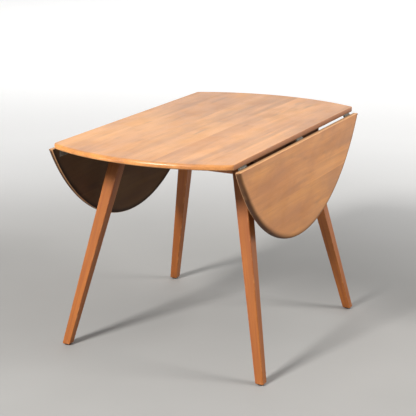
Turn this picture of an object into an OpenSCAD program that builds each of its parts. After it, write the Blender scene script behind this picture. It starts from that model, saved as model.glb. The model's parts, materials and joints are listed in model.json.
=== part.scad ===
// Drop leaf table with an oval top, four splayed tapered legs and swing-out leaf supports.
// X runs across the table, Y along the hinge lines, Z up. The origin is on the floor under the centre.
// The leaves are drawn hanging and the supports stowed.

/* [Top] */
// Height of the top surface above the floor
table_h = 710; // [690:1:760]
// Half width of the fixed board, from the centre to the hinge edge
half_w = 306; // [300:1:320]
// Half width of the whole oval with both leaves up
oval_half_w = 617; // [600:1:640]
// Half length of the oval, along the hinge lines
oval_half_l = 552; // [540:1:600]
// Thickness of the board and the leaves
board_t = 17; // [16:0.5:20]
// Rounding of the upper rim
rim_r_top = 9; // [4:0.5:10]
// Rounding of the lower rim
rim_r_bottom = 5; // [3:0.5:6.5]
// Softening of the square hinge edges
hinge_edge_r = 1.6; // [0.5:0.1:3]
// Length of edge taken up by each rounded corner of the fixed board
corner_cut = 13; // [6:1:16]
// Length of edge taken up by each rounded corner of a leaf
leaf_corner_cut = 9; // [6:1:16]

/* [Legs] */
// Leg centre across the table, at the underside of the top
leg_top_x = 204.5; // [195:0.5:210]
// Leg centre along the table, at the underside of the top
leg_top_y = 226; // [215:0.5:240]
// Leg centre across the table, at the floor
leg_foot_x = 353; // [320:1:370]
// Leg centre along the table, at the floor
leg_foot_y = 370; // [340:1:390]
// Side of the square section at the top
leg_top_side = 45.2; // [40:0.2:50]
// Side of the square section at the floor
leg_foot_side = 27.2; // [24:0.2:32]
// Corner radius of the leg, as a share of its side
leg_corner_share = 0.09; // [0.03:0.01:0.2]
// Height of the glide under each leg
glide_h = 5; // [4:0.5:7]
// Diameter of the glide
glide_d = 22; // [18:1:24]

/* [Underframe] */
// Depth of the rails below the top
rail_depth = 76.5; // [60:0.5:90]
// Thickness of the rails
rail_t = 20; // [16:1:22]
// Width of each bearer, across the table
bearer_w = 36; // [32:1:40]
// Depth of each bearer below the top
bearer_depth = 30; // [24:1:40]
// Half length of each bearer
bearer_half_l = 249; // [246:1:256]

/* [Hinges] */
// Gap between the edges of the board and a raised leaf
hinge_gap = 1; // [0.8:0.1:1.5]
// Drop of the hinge axis below the underside of the top
axis_drop = 4; // [3.9:0.1:4.5]
// Outer radius of the knuckles
knuckle_r = 3.6; // [3.4:0.1:3.6]
// Length of each hinge
hinge_l = 45; // [40:1:50]
// Distance from the middle hinge to each end hinge
hinge_spacing = 417; // [400:1:420]

/* [Leaf supports] */
// Distance from the centre line to each support's pivot
pivot_y = 215; // [205:1:216]
// Reach of a support, from its pivot to its tip
arm_reach = 180; // [150:1:184]
// Width of the flat bar
arm_w = 28; // [24:1:28]
// Thickness of the flat bar
arm_t = 3.2; // [2.5:0.1:3.3]

/* [Hidden] */
$fn = 48;

// Signs that pick a side of the table
LEFT = -1;
RIGHT = 1;
FRONT = -1;
BACK = 1;
SIDES = [LEFT, RIGHT];
ENDS = [FRONT, BACK];

// Colours
elm = [0.91, 0.70, 0.53];
beech = [0.74, 0.47, 0.30];
steel = [0.55, 0.54, 0.51];
zinc = [0.70, 0.70, 0.68];
dark_plastic = [0.16, 0.11, 0.08];

// Levels and positions worked out from the driving sizes
under_z = table_h - board_t;
axis_z = under_z - axis_drop;
axis_x = half_w + hinge_gap / 2;
bearer_inset = 52;
bearer_x = half_w - bearer_inset;
free_gap = 0.4;
arm_top_z = under_z - free_gap;
notch_z = arm_top_z - arm_t - free_gap;

// Distance from the hinge edge within which the rim's rounding grows to full
rim_rise = 4;

// Fits: a running fit for what turns, a snug one for what is screwed home
running = 0.05;
snug = 0.05;

// Hinge plates
plate_t = 1.8;
plate_w = 30;
pin_r = 1.45;
knuckles = 5;
knuckle_gap = 0.3;
hinge_ys = [-hinge_spacing, 0, hinge_spacing];

// Wood screws: shank radius, head radius, length from the top of the head
small_screw = [1.75, 3.4, 13];
bearer_screw = [2.1, 4.2, 42];

// ---------------------------------------------------------------- shared shapes

// Draws its children on the right side, or mirrored on the left
module on_side(side) {
    if (side == RIGHT) children();
    else mirror([1, 0, 0]) children();
}

// Draws its children at the back, or mirrored at the front
module at_end(end) {
    if (end == BACK) children();
    else mirror([0, 1, 0]) children();
}

// Unit vector along v
function unit(v) = v / norm(v);

// Half length of the oval at a distance x from the centre line
function oval_y(x) = oval_half_l * sqrt(1 - pow(x / oval_half_w, 2));

// A rounded corner between two edge points, as a quadratic curve through n + 1 points
function corner_curve(from, corner, to, n = 5) = [
    for (i = [0:n]) let (s = i / n)
        (1 - s) * (1 - s) * from + 2 * s * (1 - s) * corner + s * s * to
];

// Half of the fixed board's outline, from the back right corner round to the back left one
function board_end(n = 28) = let (
    edge_y = oval_y(half_w),
    x_cut = half_w - corner_cut,
    right = corner_curve([half_w, edge_y - corner_cut], [half_w, edge_y], [x_cut, oval_y(x_cut)]),
    curve = [for (i = [1:n - 1]) let (x = x_cut * cos(180 * i / n)) [x, oval_y(x)]],
    left = [for (i = [len(right) - 1:-1:0]) [-right[i][0], right[i][1]]]
) concat(right, curve, left);

// The whole outline of the fixed board, anticlockwise
function board_outline() = let (back = board_end())
    concat(back, [for (p = back) -p]);

// The outline of the right leaf as it lies when raised, anticlockwise
function leaf_outline(n = 36) = let (
    edge_x = half_w + hinge_gap,
    edge_y = oval_y(edge_x),
    x_cut = edge_x + leaf_corner_cut,
    start_angle = acos(x_cut / oval_half_w),
    corner = corner_curve([x_cut, oval_y(x_cut)], [edge_x, edge_y], [edge_x, edge_y - leaf_corner_cut]),
    curve = [for (i = [1:n - 1]) let (a = start_angle * (2 * i / n - 1))
        [oval_half_w * cos(a), oval_half_l * sin(a)]],
    front = [for (i = [len(corner) - 1:-1:0]) [corner[i][0], -corner[i][1]]]
) concat(front, curve, corner);

// Rounding at an outline point: full on the rim, small along the hinge edge at edge_x
function rim_share(p, edge_x) = let (d = abs(abs(p[0]) - edge_x))
    min(1, d / rim_rise);
function rim_radius(p, edge_x, full) =
    hinge_edge_r + (full - hinge_edge_r) * rim_share(p, edge_x);

// A board with rounded edges: the outline swept up a profile of two quarter rounds.
// edge_x is where the outline's straight hinge edges are.
module soft_board(outline, edge_x) {
    n = len(outline);
    steps = 5;
    inward = [for (i = [0:n - 1])
        let (t = unit(outline[(i + 1) % n] - outline[(i + n - 1) % n])) [-t[1], t[0]]];
    lower = [for (k = [0:steps]) [0, 90 * k / steps]];
    upper = [for (k = [0:steps]) [1, 90 - 90 * k / steps]];
    levels = concat(lower, upper);
    function edge_point(i, level) = let (
        full = level[0] == 0 ? rim_r_bottom : rim_r_top,
        r = rim_radius(outline[i], edge_x, full),
        p = outline[i] + inward[i] * r * (1 - sin(level[1])),
        h = r * (1 - cos(level[1]))
    ) [p[0], p[1], level[0] == 0 ? h : board_t - h];
    points = [for (level = levels, i = [0:n - 1]) edge_point(i, level)];
    top = len(levels) - 1;
    walls = [for (k = [0:top - 1], i = [0:n - 1]) let (j = (i + 1) % n)
        each [[k * n + i, (k + 1) * n + i, k * n + j],
              [k * n + j, (k + 1) * n + i, (k + 1) * n + j]]];
    floor_face = [for (i = [0:n - 1]) i];
    top_face = [for (i = [n - 1:-1:0]) top * n + i];
    polyhedron(points, concat([floor_face], walls, [top_face]));
}

// A countersunk wood screw, driven along +Z, with its head's face at z = 0
module wood_screw(screw) {
    shank_r = screw[0];
    head_r = screw[1];
    length = screw[2];
    head_h = head_r - shank_r;
    point_h = 3;
    difference() {
        rotate_extrude()
            polygon([[0, 0], [head_r, 0], [shank_r, head_h], [shank_r, length - point_h],
                     [0.2, length], [0, length]]);
        translate([-head_r, -0.4, -1])
            cube([2 * head_r, 0.8, 1.8]);
    }
}

// The hole for a wood screw, a little larger than the screw
module screw_hole(screw) {
    shank_r = screw[0] + snug;
    head_r = screw[1] + snug;
    length = screw[2] + 0.5;
    head_h = head_r - shank_r;
    rotate_extrude()
        polygon([[0, -1], [head_r, -1], [head_r, 0], [shank_r, head_h], [shank_r, length], [0, length]]);
}

// ---------------------------------------------------------------- hinges

// Turns what is drawn for a raised leaf down to where the leaf hangs, on the right side
module hang() {
    translate([axis_x, 0, axis_z])
        rotate([0, 90, 0])
            translate([-axis_x, 0, -axis_z])
                children();
}

// Places of the three screws in a hinge plate, measured from the axis and from the hinge's middle
function plate_screws() = [[10, -15], [22, 0], [10, 15]];

// Pocket in the underside for a hinge plate, on the side of the axis given by way
module plate_pocket(way, y) {
    depth = plate_t + 0.02;
    inner = axis_x - way * 2;
    outer = axis_x + way * (plate_w + hinge_gap / 2 + 0.1);
    translate([min(inner, outer), y - hinge_l / 2 - 0.1, under_z - 1])
        cube([abs(outer - inner), hinge_l + 0.2, 1 + depth]);
}

// Holes for the screws of a hinge plate
module plate_screw_holes(way, y) {
    for (s = plate_screws())
        translate([axis_x + way * s[0], y + s[1], under_z])
            screw_hole(small_screw);
}

// Half of a hinge: a plate with every second knuckle. way is -1 for the fixed half, 1 for the leaf's.
module hinge_half(way, y) {
    pitch = hinge_l / knuckles;
    first = way == -1 ? 0 : 1;
    plate_edge = axis_x + way * hinge_gap / 2;
    plate_end = plate_edge + way * plate_w;
    difference() {
        union() {
            translate([min(plate_edge, plate_end), y - hinge_l / 2, under_z])
                cube([plate_w, hinge_l, plate_t]);
            for (k = [first:2:knuckles - 1])
                translate([axis_x, y - hinge_l / 2 + k * pitch + knuckle_gap / 2, axis_z])
                    knuckle(way, pitch - knuckle_gap);
        }
        translate([axis_x, y - hinge_l / 2 - 1, axis_z])
            rotate([-90, 0, 0])
                cylinder(r = pin_r + running, h = hinge_l + 2);
        for (s = plate_screws())
            translate([axis_x + way * s[0], y + s[1], under_z])
                screw_hole(small_screw);
    }
}

// One knuckle, with the web that rises from it to its plate
module knuckle(way, length) {
    rotate([-90, 0, 0])
        cylinder(r = knuckle_r, h = length);
    web_x = way == -1 ? -knuckle_r : knuckle_r - plate_t;
    translate([web_x, 0, 0])
        cube([plate_t, length, axis_drop + plate_t]);
}

module hinge_fixed(side, y) {
    color(steel) on_side(side) hinge_half(-1, y);
}

module hinge_flap(side, y) {
    color(steel) on_side(side) hang() hinge_half(1, y);
}

module hinge_pins() {
    head_r = 2.3;
    head_h = 0.7;
    color(steel)
        for (side = SIDES, y = hinge_ys)
            translate([side * axis_x, y - hinge_l / 2 - head_h, axis_z])
                rotate([-90, 0, 0]) {
                    cylinder(r = head_r, h = head_h);
                    cylinder(r = pin_r, h = hinge_l + 2 * head_h);
                    translate([0, 0, hinge_l + head_h])
                        cylinder(r = head_r, h = head_h);
                }
}

// The screws through the hinge plates of one side; way is as in hinge_half
module plate_screw_set(way) {
    for (y = hinge_ys, s = plate_screws())
        translate([axis_x + way * s[0], y + s[1], under_z])
            wood_screw(small_screw);
}

module hinge_screws_top() {
    color(steel)
        for (side = SIDES)
            on_side(side) plate_screw_set(-1);
}

module hinge_screws_leaf(side) {
    color(steel) on_side(side) hang() plate_screw_set(1);
}

// ---------------------------------------------------------------- top and leaves

module centre_top() {
    color(elm)
        difference() {
            translate([0, 0, under_z])
                soft_board(board_outline(), half_w);
            for (side = SIDES)
                on_side(side) {
                    for (y = hinge_ys) {
                        plate_pocket(-1, y);
                        plate_screw_holes(-1, y);
                    }
                    for (end = ENDS)
                        translate([bearer_x, end * pivot_y, under_z - 1])
                            cylinder(r = pivot_r + snug, h = 1 + pivot_bite + 0.5);
                    for (y = bearer_screw_ys)
                        translate([bearer_x, y, under_z - bearer_depth])
                            screw_hole(bearer_screw);
                }
            bracket_places() bracket_top_hole();
        }
}

module leaf(side) {
    color(elm)
        on_side(side) hang()
            difference() {
                translate([0, 0, under_z])
                    soft_board(leaf_outline(), half_w + hinge_gap);
                for (y = hinge_ys) {
                    plate_pocket(1, y);
                    plate_screw_holes(1, y);
                }
            }
}

// ---------------------------------------------------------------- legs

// Centre and side of a leg's section at height z
function leg_share(z) = (under_z - z) / under_z;
function leg_x(z) = leg_top_x + (leg_foot_x - leg_top_x) * leg_share(z);
function leg_y(z) = leg_top_y + (leg_foot_y - leg_top_y) * leg_share(z);
function leg_side(z) = leg_top_side + (leg_foot_side - leg_top_side) * leg_share(z);

// Inner faces of a leg, which the rails meet
function leg_inner_x(z) = leg_x(z) - leg_side(z) / 2;
function leg_inner_y(z) = leg_y(z) - leg_side(z) / 2;

// A square with rounded corners, centred, as points
function rounded_square(side, steps = 5) = let (r = side * leg_corner_share, c = side / 2 - r)
    [for (q = [0:3], k = [0:steps]) let (a = 90 * q + 90 * k / steps)
        [(q == 0 || q == 3 ? c : -c) + r * cos(a), (q < 2 ? c : -c) + r * sin(a)]];

// The tapered, splayed leg blank at the back right
module leg_blank() {
    zs = [glide_h, under_z];
    ring = rounded_square(1);
    n = len(ring);
    points = [for (z = zs, p = ring)
        [leg_x(z) + p[0] * leg_side(z), leg_y(z) + p[1] * leg_side(z), z]];
    walls = [for (i = [0:n - 1]) let (j = (i + 1) % n)
        each [[i, n + i, j], [j, n + i, n + j]]];
    polyhedron(points, concat([[for (i = [0:n - 1]) i]], walls, [[for (i = [n - 1:-1:0]) n + i]]));
}

module leg(side, end) {
    color(beech)
        on_side(side) at_end(end)
            difference() {
                leg_blank();
                end_tenon(0.5, snug);
                side_tenon(0.5, snug);
                hanger_axis()
                    cylinder(r = hanger_r + snug, h = hanger_bite + 0.5);
                glide_axis()
                    cylinder(r = nail_r + snug, h = nail_l + 0.5);
            }
}

// ---------------------------------------------------------------- rails

rail_z = under_z - rail_depth;
// The rails stand far enough out to lie wholly against the legs at every height
end_rail_y = leg_inner_y(rail_z) + 0.6;
side_rail_x = leg_inner_x(rail_z) + 0.6;
tenon_l = 15;
tenon_t = 8;
tenon_wall = 2;
tenon_z0 = rail_z + 12;
tenon_z1 = under_z - 14;

// Tenon of an end rail into the back right leg. It stops short of the side rail's tenon.
// deeper and extra make the mortise longer and wider than the tenon.
module end_tenon(deeper, extra) {
    z0 = tenon_z0 - extra;
    z1 = tenon_z1 + extra;
    end_x = side_rail_x + rail_t / 2 - tenon_t / 2 - tenon_wall + deeper;
    translate([0, end_rail_y + rail_t / 2 + tenon_t / 2 + extra, 0])
        rotate([90, 0, 0])
            linear_extrude(tenon_t + 2 * extra)
                polygon([[leg_inner_x(z0) - 1, z0], [end_x, z0], [end_x, z1], [leg_inner_x(z1) - 1, z1]]);
}

// Tenon of a side rail into the back right leg; deeper and extra are as in end_tenon
module side_tenon(deeper, extra) {
    z0 = tenon_z0 - extra;
    z1 = tenon_z1 + extra;
    end_y = leg_inner_y(tenon_z0) + tenon_l + deeper;
    translate([side_rail_x + rail_t / 2 - tenon_t / 2 - extra, 0, 0])
        rotate([90, 0, 90])
            linear_extrude(tenon_t + 2 * extra)
                polygon([[leg_inner_y(z0) - 1, z0], [end_y, z0], [end_y, z1], [leg_inner_y(z1) - 1, z1]]);
}

module end_rail(end) {
    color(beech)
        at_end(end)
            difference() {
                union() {
                    translate([0, end_rail_y + rail_t, 0])
                        rotate([90, 0, 0])
                            linear_extrude(rail_t)
                                polygon([[-leg_inner_x(rail_z), rail_z], [leg_inner_x(rail_z), rail_z],
                                         [leg_inner_x(under_z), under_z], [-leg_inner_x(under_z), under_z]]);
                    for (side = SIDES)
                        on_side(side) end_tenon(0, 0);
                }
                for (x = end_bracket_xs)
                    translate([x, end_rail_y, bracket_hole_z])
                        rotate([-90, 0, 0])
                            screw_hole(small_screw);
            }
}

module side_rail(side) {
    color(beech)
        on_side(side)
            difference() {
                union() {
                    translate([side_rail_x, 0, 0])
                        rotate([90, 0, 90])
                            linear_extrude(rail_t)
                                polygon([[-leg_inner_y(rail_z), rail_z], [leg_inner_y(rail_z), rail_z],
                                         [leg_inner_y(under_z), under_z], [-leg_inner_y(under_z), under_z]]);
                    for (end = ENDS)
                        at_end(end) side_tenon(0, 0);
                }
                for (y = side_bracket_ys)
                    translate([side_rail_x, y, bracket_hole_z])
                        rotate([0, 90, 0])
                            screw_hole(small_screw);
            }
}

// ---------------------------------------------------------------- corner braces

brace_z0 = rail_z + 22;
brace_z1 = under_z - 6;
brace_mid_z = (brace_z0 + brace_z1) / 2;
brace_t = 24;
hanger_r = 3;
hanger_bite = 30;
washer_t = 1.5;
hanger_washer_r = 9;
nut_r = 5.8;
nut_t = 5;

// Distances along the diagonal, from the origin, of the brace's two long faces
brace_outer = (leg_inner_x(under_z) + leg_inner_y(under_z) - 3) / sqrt(2);
brace_inner = brace_outer - brace_t;
// Where the bolt crosses the brace, half way between the two rails
bolt_shift = (leg_inner_x(brace_mid_z) - leg_inner_y(brace_mid_z)) / sqrt(2);

// Moves its children onto the hanger bolt's line, with +Z pointing into the leg.
// Its origin is where the bolt leaves the brace's outer face.
module hanger_axis() {
    diagonal = [1, 1, 0] / sqrt(2);
    across = [1, -1, 0] / sqrt(2);
    translate(diagonal * brace_outer + across * bolt_shift + [0, 0, brace_mid_z])
        rotate([0, 90, 45])
            children();
}

module brace(side, end) {
    s = sqrt(2);
    u = side_rail_x;
    v = end_rail_y;
    color(beech)
        on_side(side) at_end(end)
            difference() {
                translate([0, 0, brace_z0])
                    linear_extrude(brace_z1 - brace_z0)
                        polygon([[u, s * brace_inner - u], [u, s * brace_outer - u],
                                 [s * brace_outer - v, v], [s * brace_inner - v, v]]);
                hanger_axis()
                    translate([0, 0, -brace_t - 1])
                        cylinder(r = hanger_r + 0.2, h = brace_t + 2);
            }
}

// Draws its children at each of the four corners
module each_corner() {
    for (side = SIDES, end = ENDS)
        on_side(side) at_end(end) children();
}

module hanger_bolts() {
    tail = brace_t + washer_t + nut_t + 3;
    color(zinc)
        each_corner() hanger_axis()
            translate([0, 0, -tail])
                cylinder(r = hanger_r, h = tail + hanger_bite);
}

module hanger_nuts() {
    color(zinc)
        each_corner() hanger_axis()
            translate([0, 0, -brace_t - washer_t - nut_t])
                difference() {
                    cylinder(r = nut_r, h = nut_t, $fn = 6);
                    translate([0, 0, -1])
                        cylinder(r = hanger_r + snug, h = nut_t + 2);
                }
}

module hanger_washers() {
    color(zinc)
        each_corner() hanger_axis()
            translate([0, 0, -brace_t - washer_t])
                difference() {
                    cylinder(r = hanger_washer_r, h = washer_t);
                    translate([0, 0, -1])
                        cylinder(r = hanger_r + 0.2, h = washer_t + 2);
                }
}

// ---------------------------------------------------------------- bearers and leaf supports

pivot_r = 3;
pivot_bite = 9;
pivot_washer_r = 8.5;
bearer_screw_ys = [-bearer_half_l + 8, 0, bearer_half_l - 8];
notch_y0 = 20;
notch_y1 = pivot_y + arm_w / 2 + 3;

module bearer(side) {
    chamfer = 5;
    z0 = under_z - bearer_depth;
    color(beech)
        on_side(side)
            difference() {
                translate([bearer_x - bearer_w / 2, 0, 0])
                    rotate([90, 0, 90])
                        linear_extrude(bearer_w)
                            polygon([[-bearer_half_l + chamfer, z0], [bearer_half_l - chamfer, z0],
                                     [bearer_half_l, z0 + chamfer], [bearer_half_l, under_z],
                                     [-bearer_half_l, under_z], [-bearer_half_l, z0 + chamfer]]);
                for (end = ENDS)
                    at_end(end) {
                        translate([bearer_x - bearer_w / 2 - 1, notch_y0, notch_z])
                            cube([bearer_w + 2, notch_y1 - notch_y0, under_z - notch_z + 1]);
                        translate([bearer_x, pivot_y, z0 - 1])
                            cylinder(r = pivot_r + snug, h = bearer_depth + 2);
                    }
                for (y = bearer_screw_ys)
                    translate([bearer_x, y, z0])
                        screw_hole(bearer_screw);
            }
}

module bearer_screws() {
    color(steel)
        for (side = SIDES, y = bearer_screw_ys)
            translate([side * bearer_x, y, under_z - bearer_depth])
                wood_screw(bearer_screw);
}

// A flat bar with round ends, stowed along the bearer and pointing to the middle of the table
module arm(side, end) {
    r = arm_w / 2;
    color(steel)
        on_side(side) at_end(end)
            translate([bearer_x, pivot_y, arm_top_z - arm_t])
                difference() {
                    union() {
                        cylinder(r = r, h = arm_t);
                        translate([-r, r - arm_reach, 0])
                            cube([arm_w, arm_reach - r, arm_t]);
                        translate([0, r - arm_reach, 0])
                            cylinder(r = r, h = arm_t);
                    }
                    translate([0, 0, -1])
                        cylinder(r = pivot_r + running, h = arm_t + 2);
                }
}

module pivot_bolts() {
    head_r = 6;
    head_h = 3.6;
    chamfer = 1.2;
    socket_r = 2.3;
    socket_depth = 2;
    seat_z = under_z - bearer_depth - washer_t;
    color(zinc)
        for (side = SIDES, end = ENDS)
            translate([side * bearer_x, end * pivot_y, seat_z])
                difference() {
                    union() {
                        cylinder(r = pivot_r, h = bearer_depth + washer_t + pivot_bite);
                        translate([0, 0, -head_h])
                            cylinder(r1 = head_r - chamfer, r2 = head_r, h = chamfer);
                        translate([0, 0, chamfer - head_h])
                            cylinder(r = head_r, h = head_h - chamfer);
                    }
                    translate([0, 0, -head_h - 1])
                        cylinder(r = socket_r, h = 1 + socket_depth, $fn = 6);
                }
}

module pivot_washers() {
    color(zinc)
        for (side = SIDES, end = ENDS)
            translate([side * bearer_x, end * pivot_y, under_z - bearer_depth - washer_t])
                difference() {
                    cylinder(r = pivot_washer_r, h = washer_t);
                    translate([0, 0, -1])
                        cylinder(r = pivot_r + snug, h = washer_t + 2);
                }
}

// ---------------------------------------------------------------- brackets that hold the top

bracket_l = 24;
bracket_w = 18;
bracket_t = 2;
bracket_hole = 15;
bracket_hole_z = under_z - bracket_hole;
end_bracket_xs = [-85, 85];
side_bracket_ys = [-95, 95];

// Draws its children at each bracket, with the rail's inner face at x = 0 and the top at z = 0
module bracket_places() {
    for (side = SIDES, y = side_bracket_ys)
        on_side(side)
            translate([side_rail_x, y, under_z])
                children();
    for (end = ENDS, x = end_bracket_xs)
        at_end(end)
            translate([x, end_rail_y, under_z])
                rotate([0, 0, 90])
                    children();
}

module bracket_screw_upright() {
    translate([-bracket_t, 0, -bracket_hole])
        rotate([0, 90, 0])
            children();
}

module bracket_screw_level() {
    translate([-bracket_hole, 0, -bracket_t])
        children();
}

module bracket_top_hole() {
    bracket_screw_level() screw_hole(small_screw);
}

module top_brackets() {
    color(zinc)
        bracket_places()
            difference() {
                union() {
                    translate([-bracket_t, -bracket_w / 2, -bracket_l])
                        cube([bracket_t, bracket_w, bracket_l]);
                    translate([-bracket_l, -bracket_w / 2, -bracket_t])
                        cube([bracket_l, bracket_w, bracket_t]);
                }
                bracket_screw_upright() screw_hole(small_screw);
                bracket_screw_level() screw_hole(small_screw);
            }
}

module bracket_screws() {
    color(steel)
        bracket_places() {
            bracket_screw_upright() wood_screw(small_screw);
            bracket_screw_level() wood_screw(small_screw);
        }
}

// ---------------------------------------------------------------- glides

nail_r = 1.3;
nail_l = 18;
nail_head_r = 3;
nail_head_h = 0.8;
nail_recess = 2.2;

// Moves its children under the back right leg, with the leg's end at z = 0
module glide_axis() {
    translate([leg_x(glide_h), leg_y(glide_h), glide_h])
        children();
}

module glide(side, end) {
    r = glide_d / 2;
    color(dark_plastic)
        on_side(side) at_end(end) glide_axis()
            translate([0, 0, -glide_h])
                rotate_extrude()
                    polygon([[nail_head_r + 0.3, 0], [r - 2.6, 0], [r - 1.1, 0.5], [r - 0.2, 1.8], [r, 3],
                             [r, glide_h], [nail_r + snug, glide_h], [nail_r + snug, nail_recess],
                             [nail_head_r + 0.3, nail_recess]]);
}

module glide_nails() {
    color(steel)
        each_corner() glide_axis() {
            translate([0, 0, nail_recess - glide_h - nail_head_h])
                cylinder(r = nail_head_r, h = nail_head_h);
            translate([0, 0, nail_recess - glide_h - nail_head_h / 2])
                cylinder(r = nail_r, h = glide_h - nail_recess + nail_head_h / 2 + nail_l);
        }
}

// ---------------------------------------------------------------- nodes

centre_top();
leaf(LEFT);  // left_leaf
leaf(RIGHT);  // right_leaf
leg(LEFT, FRONT);  // leg_front_left
leg(RIGHT, FRONT);  // leg_front_right
leg(LEFT, BACK);  // leg_back_left
leg(RIGHT, BACK);  // leg_back_right
end_rail(FRONT);  // end_rail_front
end_rail(BACK);  // end_rail_back
side_rail(LEFT);  // side_rail_left
side_rail(RIGHT);  // side_rail_right
brace(LEFT, FRONT);  // brace_front_left
brace(RIGHT, FRONT);  // brace_front_right
brace(LEFT, BACK);  // brace_back_left
brace(RIGHT, BACK);  // brace_back_right
hanger_bolts();
hanger_nuts();
hanger_washers();
bearer(LEFT);  // bearer_left
bearer(RIGHT);  // bearer_right
bearer_screws();
top_brackets();
bracket_screws();
glide(LEFT, FRONT);  // glide_front_left
glide(RIGHT, FRONT);  // glide_front_right
glide(LEFT, BACK);  // glide_back_left
glide(RIGHT, BACK);  // glide_back_right
glide_nails();
hinge_fixed(LEFT, -hinge_spacing);  // hinge_left_front
hinge_fixed(LEFT, 0);  // hinge_left_middle
hinge_fixed(LEFT, hinge_spacing);  // hinge_left_back
hinge_fixed(RIGHT, -hinge_spacing);  // hinge_right_front
hinge_fixed(RIGHT, 0);  // hinge_right_middle
hinge_fixed(RIGHT, hinge_spacing);  // hinge_right_back
hinge_flap(LEFT, -hinge_spacing);  // flap_left_front
hinge_flap(LEFT, 0);  // flap_left_middle
hinge_flap(LEFT, hinge_spacing);  // flap_left_back
hinge_flap(RIGHT, -hinge_spacing);  // flap_right_front
hinge_flap(RIGHT, 0);  // flap_right_middle
hinge_flap(RIGHT, hinge_spacing);  // flap_right_back
hinge_pins();
hinge_screws_top();
hinge_screws_leaf(LEFT);  // hinge_screws_left
hinge_screws_leaf(RIGHT);  // hinge_screws_right
arm(LEFT, FRONT);  // arm_front_left
arm(RIGHT, FRONT);  // arm_front_right
arm(LEFT, BACK);  // arm_back_left
arm(RIGHT, BACK);  // arm_back_right
pivot_bolts();
pivot_washers();
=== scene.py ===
"""Drop leaf table: final meshes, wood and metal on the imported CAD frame, in a plain studio.

Units are metres. X runs across the table, Y along the hinge lines, Z up, and the origin is on
the floor under the centre. Every size comes from the frame or from the named values below.
"""

import json
import math

import bmesh
import bpy
import numpy as np
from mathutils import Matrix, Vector

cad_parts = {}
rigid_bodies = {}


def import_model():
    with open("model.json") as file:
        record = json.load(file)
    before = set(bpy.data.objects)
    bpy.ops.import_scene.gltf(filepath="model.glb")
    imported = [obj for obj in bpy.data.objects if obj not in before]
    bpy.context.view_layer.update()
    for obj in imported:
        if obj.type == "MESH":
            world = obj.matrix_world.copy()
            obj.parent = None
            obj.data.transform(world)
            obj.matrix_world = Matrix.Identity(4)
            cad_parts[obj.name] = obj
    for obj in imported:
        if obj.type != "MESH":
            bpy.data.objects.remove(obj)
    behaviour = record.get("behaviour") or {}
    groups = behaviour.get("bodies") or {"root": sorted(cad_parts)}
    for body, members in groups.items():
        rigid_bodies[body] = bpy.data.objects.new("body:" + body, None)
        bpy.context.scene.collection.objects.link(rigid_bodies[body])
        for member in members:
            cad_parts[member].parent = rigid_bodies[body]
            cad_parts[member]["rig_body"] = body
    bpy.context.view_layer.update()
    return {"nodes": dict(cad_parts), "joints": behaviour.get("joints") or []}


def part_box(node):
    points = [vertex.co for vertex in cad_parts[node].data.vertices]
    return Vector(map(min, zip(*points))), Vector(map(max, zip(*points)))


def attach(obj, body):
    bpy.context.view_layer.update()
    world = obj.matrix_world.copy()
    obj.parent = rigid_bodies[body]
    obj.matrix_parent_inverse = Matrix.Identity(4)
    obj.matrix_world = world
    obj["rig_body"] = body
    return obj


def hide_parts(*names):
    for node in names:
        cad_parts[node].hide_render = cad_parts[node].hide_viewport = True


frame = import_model()

# ------------------------------------------------------------------ sizes read from the frame

SIDES = {"left": -1, "right": 1}
ENDS = {"front": -1, "back": 1}
joint_place = {j["name"]: Vector(j["pos_m"]) for j in frame["joints"]}
top_low, top_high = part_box("centre_top")
leaf_low, leaf_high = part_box("right_leaf")
plate_low, plate_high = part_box("hinge_right_middle")

AXIS = joint_place["right_leaf_hinge"]
HALF_W = top_high.x
OVAL_HALF_L = top_high.y
UNDER_Z = top_low.z
BOARD_T = top_high.z - top_low.z
OVAL_HALF_W = AXIS.x + AXIS.z - leaf_low.z
LEAF_EDGE = AXIS.x + AXIS.z - leaf_high.z
HINGE_L = plate_high.y - plate_low.y
PLATE_END = plate_low.x
HINGE_PLACES = ("front", "middle", "back")
HINGE_BOXES = [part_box(f"hinge_right_{place}") for place in HINGE_PLACES]
HINGE_YS = [(low.y + high.y) / 2 for low, high in HINGE_BOXES]

# The edge shapes that the CAD boards and legs have, and the thickness of the hinge plates
RIM_R_TOP = 0.009
RIM_R_BOTTOM = 0.005
HINGE_EDGE_R = 0.0016
RIM_RISE = 0.004
CORNER_CUT = 0.013
LEAF_CORNER_CUT = 0.009
LEG_CORNER_SHARE = 0.09
PLATE_T = 0.0018

# A flat ring inside the rim, how late the rim's own tone comes in round the edge, and the
# height over which the underside's painted shade and dull finish fade out
LIP = 0.001
RIM_BLEND = 2.2
UNDER_FADE = 0.004
# A painted highlight, a pale line along each leaf's inner arris: how high it lies and how wide it
# is
ARRIS_RISE = 0.0022
ARRIS_W = 0.0012
ARRIS_LEAST_RIM = 0.2
# How near the straight hinge edge a vertex is when it counts as on it
STRAIGHT_NEAR = 0.0003
# How many steps each outline, each plan corner and each rounded edge has
TOP_STEPS = 72
LEAF_STEPS = 96
CORNER_STEPS = 8
EDGE_STEPS = 8
# Play round a hinge plate in its pocket, and how far the pocket's cutter runs past the hinge
# axis and below the board
POCKET_SLACK = 0.0001
POCKET_DEPTH = PLATE_T + 0.00002
CUTTER_PAST_AXIS = 0.002
CUTTER_BELOW = 0.001

# ------------------------------------------------------------------ node graphs


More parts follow.
